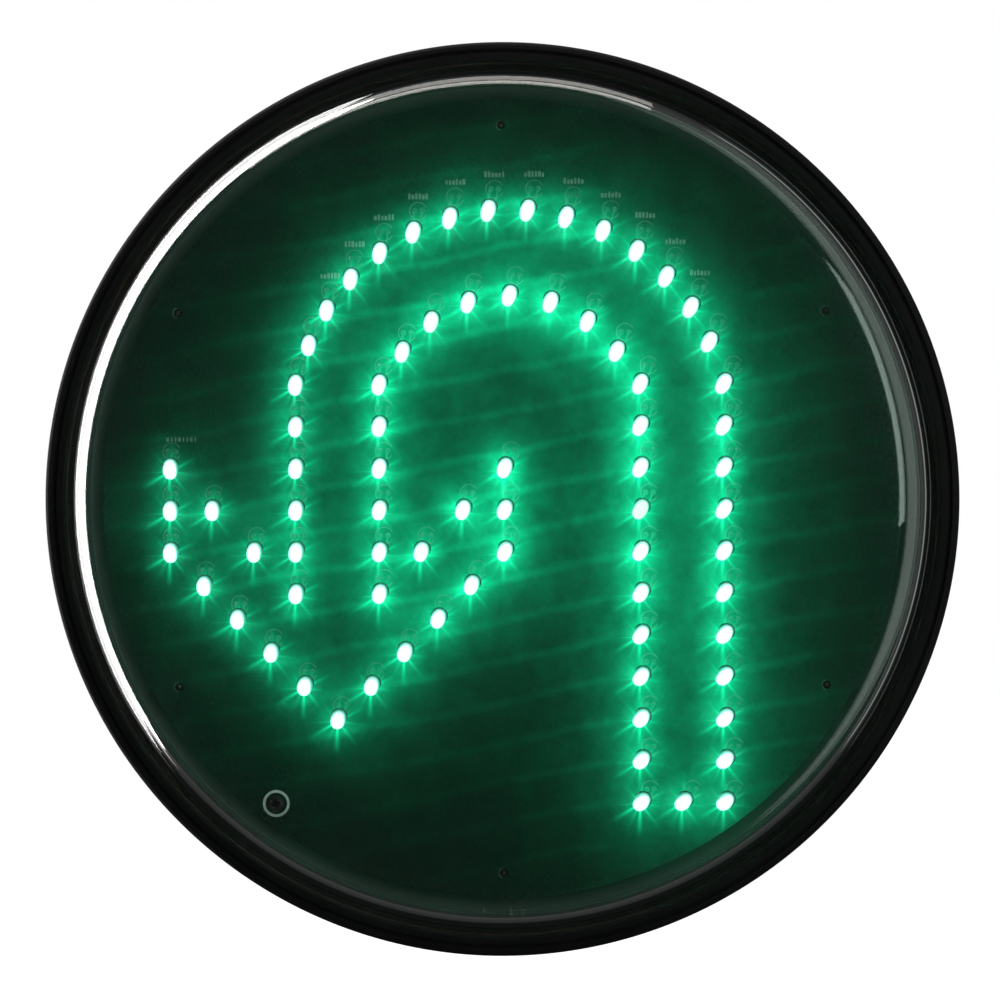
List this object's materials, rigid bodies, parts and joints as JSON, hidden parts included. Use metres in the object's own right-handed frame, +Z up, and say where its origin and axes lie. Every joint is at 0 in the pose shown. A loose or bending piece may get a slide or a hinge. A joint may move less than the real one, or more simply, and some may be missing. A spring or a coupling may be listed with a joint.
{
  "type": "traffic signal lamp module",
  "caption": "Round LED traffic signal lamp module with a clear domed lens, a black rubber gasket and a lit green U-turn arrow of LEDs on a dark round circuit board.",
  "frame": {"origin": "centre of the gasket's front seating face, on the lens axis, where the signal door's ring presses", "axes": "-Y out of the lens towards the driver who sees the signal, +Z up with the shafts of the arrow upright, +X to the right seen from the front"},
  "size_m": [0.3, 0.084, 0.3],
  "materials": {
    "epdm_rubber": "matte",
    "clear_polycarbonate": "polished",
    "black_polycarbonate": "satin",
    "silicone": "satin",
    "dark_solder_mask": "gloss",
    "green_solder_mask": "gloss",
    "lit_green_led": "polished",
    "zinc_steel": "satin",
    "black_steel": "satin",
    "grey_nylon": "satin",
    "white_nylon": "satin",
    "terminal_green": "satin",
    "ferrite": "matte",
    "winding_tape": "satin",
    "enamelled_copper": "satin",
    "capacitor_sleeve": "satin",
    "film_capacitor": "satin",
    "varistor_blue": "satin",
    "fuse_glass": "polished",
    "moulding_epoxy": "matte",
    "anodised_aluminium": "satin",
    "wire_red": "satin",
    "wire_black": "satin"
  },
  "bodies": {
    "root": {"board_screw": "black_steel", "bridge_rectifier": "moulding_epoxy", "bulk_capacitor": "capacitor_sleeve", "cover_screw_1": "zinc_steel", "cover_screw_2": "zinc_steel", "cover_screw_3": "zinc_steel", "cover_screw_4": "zinc_steel", "cover_seal": "silicone", "driver_board": "green_solder_mask", "driver_screw_1": "zinc_steel", "driver_screw_2": "zinc_steel", "driver_screw_3": "zinc_steel", "driver_screw_4": "zinc_steel", "fuse": "fuse_glass", "gasket": "epdm_rubber", "gland_body": "grey_nylon", "gland_cap": "grey_nylon", "gland_locknut": "grey_nylon", "gland_seal": "epdm_rubber", "gland_washer": "epdm_rubber", "heatsink": "anodised_aluminium", "input_terminal": "terminal_green", "led_board": "dark_solder_mask", "led_connector": "white_nylon", "led_string_01": "lit_green_led", "led_string_02": "lit_green_led", "led_string_03": "lit_green_led", "led_string_04": "lit_green_led", "led_string_05": "lit_green_led", "led_string_06": "lit_green_led", "led_string_07": "lit_green_led", "led_string_08": "lit_green_led", "led_string_09": "lit_green_led", "led_string_10": "lit_green_led", "led_string_11": "lit_green_led", "led_string_12": "lit_green_led", "led_string_13": "lit_green_led", "led_string_14": "lit_green_led", "led_string_15": "lit_green_led", "lens": "clear_polycarbonate", "lens_seal": "silicone", "line_choke": "enamelled_copper", "link_wire_black": "wire_black", "link_wire_red": "wire_red", "output_capacitor": "capacitor_sleeve", "output_connector": "white_nylon", "rear_cover": "black_polycarbonate", "rear_housing": "black_polycarbonate", "switching_transistor": "moulding_epoxy", "transformer_core": "ferrite", "transformer_winding": "winding_tape", "varistor": "varistor_blue", "x_capacitor": "film_capacitor"}
  },
  "joints": []
}
